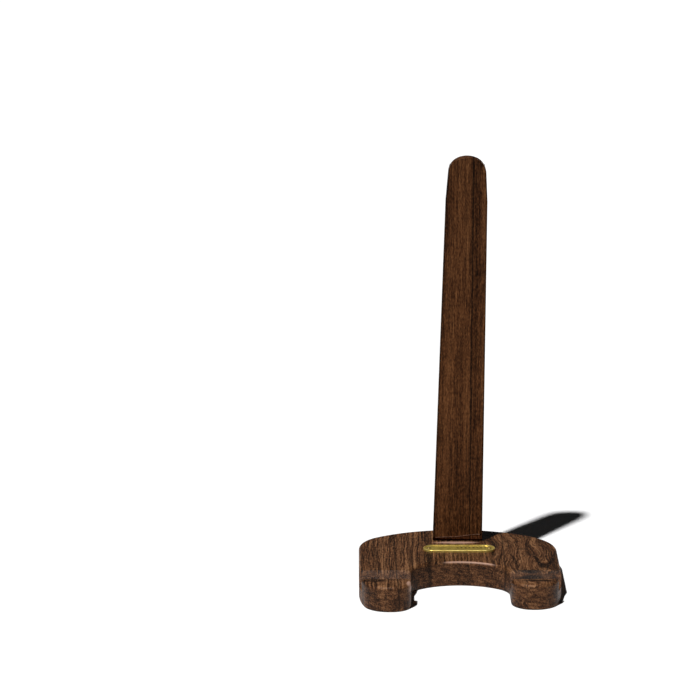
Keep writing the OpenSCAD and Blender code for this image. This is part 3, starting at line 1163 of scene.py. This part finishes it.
@dataclass
class Nameplate:
    """A long brass plate with round ends, a raised rim and a row of engraved lozenges."""

    name: str = "nameplate_brass"
    rim: float = 0.6 * MM
    field_depth: float = 0.4 * MM
    edge_round: float = 0.38 * MM
    pattern_from: float = -1.6 * MM
    pattern_to: float = 14.0 * MM
    pattern_y: float = 0.9 * MM
    pattern_half: float = 1.35 * MM
    lozenges: int = 8
    field_wall: float = 0.16 * MM
    engraving: float = 0.12 * MM
    low: Vector = field(default_factory=lambda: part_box("nameplate")[0])
    high: Vector = field(default_factory=lambda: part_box("nameplate")[1])

    @property
    def middle(self) -> Vector:
        """Centre of the plate's underside."""
        return Vector(((self.low.x + self.high.x) / 2, (self.low.y + self.high.y) / 2, self.low.z))

    def _bar(self, mesh: BMesh) -> BMFace:
        """Draws the plan of the plate."""
        radius = (self.high.y - self.low.y) / 2
        reach = (self.high.x - self.low.x) / 2 - radius
        pen = Pen(mesh, (reach, -radius))
        pen.arc((reach, 0.0), 180, 28).line(-reach, radius).arc((-reach, 0.0), 180, 28)
        return pen.close()

    def build(self) -> None:
        """Builds the plate."""
        mesh = bmesh.new()
        plan = self._bar(mesh)
        thickness = self.high.z - self.low.z
        Shaper.raise_face(mesh, [plan], Vector((0, 0, thickness)))
        face_outward(mesh)
        edge = [e for e in mesh.edges if all(v.co.z > thickness - TINY for v in e.verts)]
        Shaper.round_edges(mesh, edge, self.edge_round, 3)
        mesh.normal_update()
        top = max(mesh.faces, key=lambda f: f.calc_area() if f.normal.z > 0.9 else 0.0)
        bmesh.ops.inset_region(mesh, faces=[top], thickness=self.rim - self.edge_round, use_even_offset=True)
        bmesh.ops.inset_region(mesh, faces=[top], thickness=self.field_wall, depth=-self.field_depth,
                               use_even_offset=True)
        top.material_index = 1
        self._engrave(mesh, top)
        bmesh.ops.translate(mesh, verts=mesh.verts[:], vec=self.middle)
        rim = BrassFinish("bright_brass", polish=0.26, stain=0.15)
        ground = BrassFinish("field_brass", bright=(0.60, 0.46, 0.10), wear_and_sheen=(0.38, 0.28, 0.050),
                             polish=0.36, stain=0.9)
        cut = BrassFinish("engraved_brass", bright=(0.16, 0.105, 0.03), wear_and_sheen=(0.09, 0.055, 0.018), polish=0.5)
        piece = Shaper.piece(mesh, self.name, [rim, ground, cut])
        settle(piece, "nameplate", "stand")

    def _engrave(self, mesh: BMesh, ground: BMFace) -> None:
        """Engraves a row of lozenges in the field.

        Args:
            mesh: the plate.
            ground: the flat face of the field.
        """
        z = ground.calc_center_median().z
        row, tall = self.pattern_y, self.pattern_half
        pitch = (self.pattern_to - self.pattern_from) / self.lozenges
        for side in (-1, 1):
            self._split_field(mesh, z, Vector((0, row + side * tall, z)), Vector((0, 1, 0)))
        for x in (self.pattern_from, self.pattern_to):
            self._split_field(mesh, z, Vector((x, 0, z)), Vector((1, 0, 0)))
        for step in range(self.lozenges + 1):
            at = Vector((self.pattern_from + pitch * step, row, z))
            for side in (-1, 1):
                self._split_field(mesh, z, at, Vector((tall * 2, side * pitch, 0)).normalized(), inside=True)
        mesh.normal_update()
        shapes = [f for f in self._field(mesh, z) if self._in_pattern(f) and len(f.verts) == 4
                  and abs(f.calc_center_median().y - row) < tall * 0.05]
        bmesh.ops.inset_individual(mesh, faces=shapes, thickness=self.engraving, depth=-self.engraving)
        for face in shapes:
            face.material_index = 2

    @staticmethod
    def _field(mesh: BMesh, z: float) -> list[BMFace]:
        """The faces of the field, which lies at height z."""
        return [f for f in mesh.faces if f.material_index == 1 and abs(f.calc_center_median().z - z) < TINY]

    def _in_pattern(self, face: BMFace) -> bool:
        """Whether a face lies in the stretch that is engraved."""
        at = face.calc_center_median()
        return self.pattern_from < at.x < self.pattern_to and abs(at.y - self.pattern_y) < self.pattern_half

    def _split_field(self, mesh: BMesh, z: float, at: Vector, normal: Vector,
                     inside: bool = False) -> None:
        """Cuts the field at height z along a plane, or only its engraved stretch."""
        Shaper.split(mesh, at, normal, [f for f in self._field(mesh, z) if self._in_pattern(f) or not inside])


@dataclass
class PlatePins:
    """The two round-headed pins that hold the plate."""

    name: str = "plate_pin_heads"
    shank_r: float = 0.5 * MM
    head_r: float = 1.0 * MM
    head_h: float = 0.5 * MM
    dome: tuple[tuple[float, float], ...] = (
        (1.0, 0.0), (0.96, 0.35), (0.80, 0.68), (0.55, 0.90), (0.28, 0.99))
    low: Vector = field(default_factory=lambda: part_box("plate_pins")[0])
    high: Vector = field(default_factory=lambda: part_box("plate_pins")[1])

    def _pin(self, mesh: BMesh, x: float) -> None:
        """Turns one pin.

        Args:
            mesh: the mesh that it goes in.
            x: where it stands.
        """
        y = (self.low.y + self.high.y) / 2
        neck = self.high.z - self.head_h
        profile = [(0.0, self.low.z), (self.shank_r * 0.4, self.low.z + 0.4 * MM),
                   (self.shank_r, self.low.z + 1.2 * MM), (self.shank_r, neck)]
        profile += [(self.head_r * out, neck + self.head_h * up) for out, up in self.dome]
        profile.append((0.0, self.high.z))
        verts = [mesh.verts.new((x + r, y, z)) for r, z in profile]
        edges = [mesh.edges.new(pair) for pair in zip(verts, verts[1:])]
        bmesh.ops.spin(mesh, geom=verts + edges, cent=(x, y, 0), axis=(0, 0, 1), dvec=(0, 0, 0),
                       angle=2 * math.pi, steps=28, use_merge=True)

    def build(self) -> None:
        """Builds both pins."""
        mesh = bmesh.new()
        self._pin(mesh, self.low.x + self.head_r)
        self._pin(mesh, self.high.x - self.head_r)
        bmesh.ops.remove_doubles(mesh, verts=mesh.verts[:], dist=TINY)
        dull = BrassFinish("pin_brass", bright=(0.34, 0.235, 0.085), wear_and_sheen=(0.20, 0.13, 0.045), stain=0.7)
        piece = Shaper.piece(mesh, self.name, [dull], weighted=False)
        settle(piece, "plate_pins", "stand")


# ---- studio


@dataclass
class Studio:
    """A white floor, one key light from the front left, a pale card behind and the camera."""

    floor_half: float = 12.0
    to_key: Place = (-0.259, -0.392, 0.889)
    key_strength: float = 4.5
    key_spread: float = math.radians(2.0)
    card_size: tuple[float, float] = (1.6, 0.6)
    card_power: float = 0.4
    card_at: Place = (0.1, 1.6, 0.5)
    from_card: Place = (0.1, 1.6, 0.45)
    sky: float = 0.008
    sky_colour: Colour = (0.94, 0.97, 1.0)
    paper_colour: Colour = (1.0, 1.0, 1.0)
    camera_at: Place = (-0.053907, -1.59722, 0.488868)
    camera_pitch: float = math.radians(13.066)
    lens: float = 172.56

    def _floor(self) -> None:
        """Lays the floor just under the stand."""
        mesh = bmesh.new()
        bmesh.ops.create_grid(mesh, x_segments=4, y_segments=4, size=self.floor_half)
        data = bpy.data.meshes.new("floor")
        mesh.to_mesh(data)
        mesh.free()
        data.materials.append(FloorFinish().make())
        floor = stand_in_scene("floor", data)

    def _lights(self) -> None:
        """Hangs the key light and the card."""
        key = bpy.data.lights.new("key", "SUN")
        key.energy = self.key_strength
        key.angle = self.key_spread
        lamp = stand_in_scene("key", key)
        lamp.rotation_euler = Vector(self.to_key).to_track_quat("Z", "Y").to_euler()
        card = bpy.data.lights.new("card", "AREA")
        card.shape = "RECTANGLE"
        card.size, card.size_y = self.card_size
        card.energy = self.card_power
        board = stand_in_scene("card", card)
        board.location = self.card_at
        board.rotation_euler = Vector(self.from_card).to_track_quat("Z", "Y").to_euler()
        board.visible_camera = False

    def _sky(self) -> None:
        """A dim even surround that the camera sees as pale paper."""
        world = bpy.data.worlds.new("surround")
        bpy.context.scene.world = world
        world.use_nodes = True
        tree = world.node_tree
        tree.nodes.clear()
        path = tree.nodes.new("ShaderNodeLightPath")
        mix = tree.nodes.new("ShaderNodeMixShader")
        out = tree.nodes.new("ShaderNodeOutputWorld")
        tree.links.new(path.outputs["Is Camera Ray"], mix.inputs[0])
        surrounds = ((self.sky_colour, self.sky), (self.paper_colour, 1.0))
        for entry, (colour, strength) in enumerate(surrounds, start=1):
            light = tree.nodes.new("ShaderNodeBackground")
            light.inputs["Color"].default_value = (*colour, 1.0)
            light.inputs["Strength"].default_value = strength
            tree.links.new(light.outputs[0], mix.inputs[entry])
        tree.links.new(mix.outputs[0], out.inputs["Surface"])

    def _camera(self) -> None:
        """Stands the camera at its place."""
        data = bpy.data.cameras.new("camera")
        data.lens = self.lens
        data.sensor_width = 36.0
        data.clip_start, data.clip_end = 0.05, 60.0
        camera = stand_in_scene("camera", data)
        camera.location = self.camera_at
        camera.rotation_euler = (math.pi / 2 - self.camera_pitch, 0.0, 0.0)
        bpy.context.scene.camera = camera

    def build(self) -> None:
        """Builds the studio."""
        self._camera()
        self._floor()
        self._lights()
        self._sky()
        view = bpy.context.scene.view_settings
        view.view_transform = "Standard"
        view.look = "None"
        view.exposure = 0.0
        LOG.info("studio: key %.2f, surround %.2f", self.key_strength, self.sky)


def main() -> None:
    """Builds the studio and the stand, piece by piece."""
    logging.basicConfig(level=logging.INFO, format="%(name)s: %(message)s")
    Studio().build()
    for part in (HorseshoeBase(), Upright(), Nameplate(), PlatePins()):
        part.build()


if __name__ == "__main__":
    main()
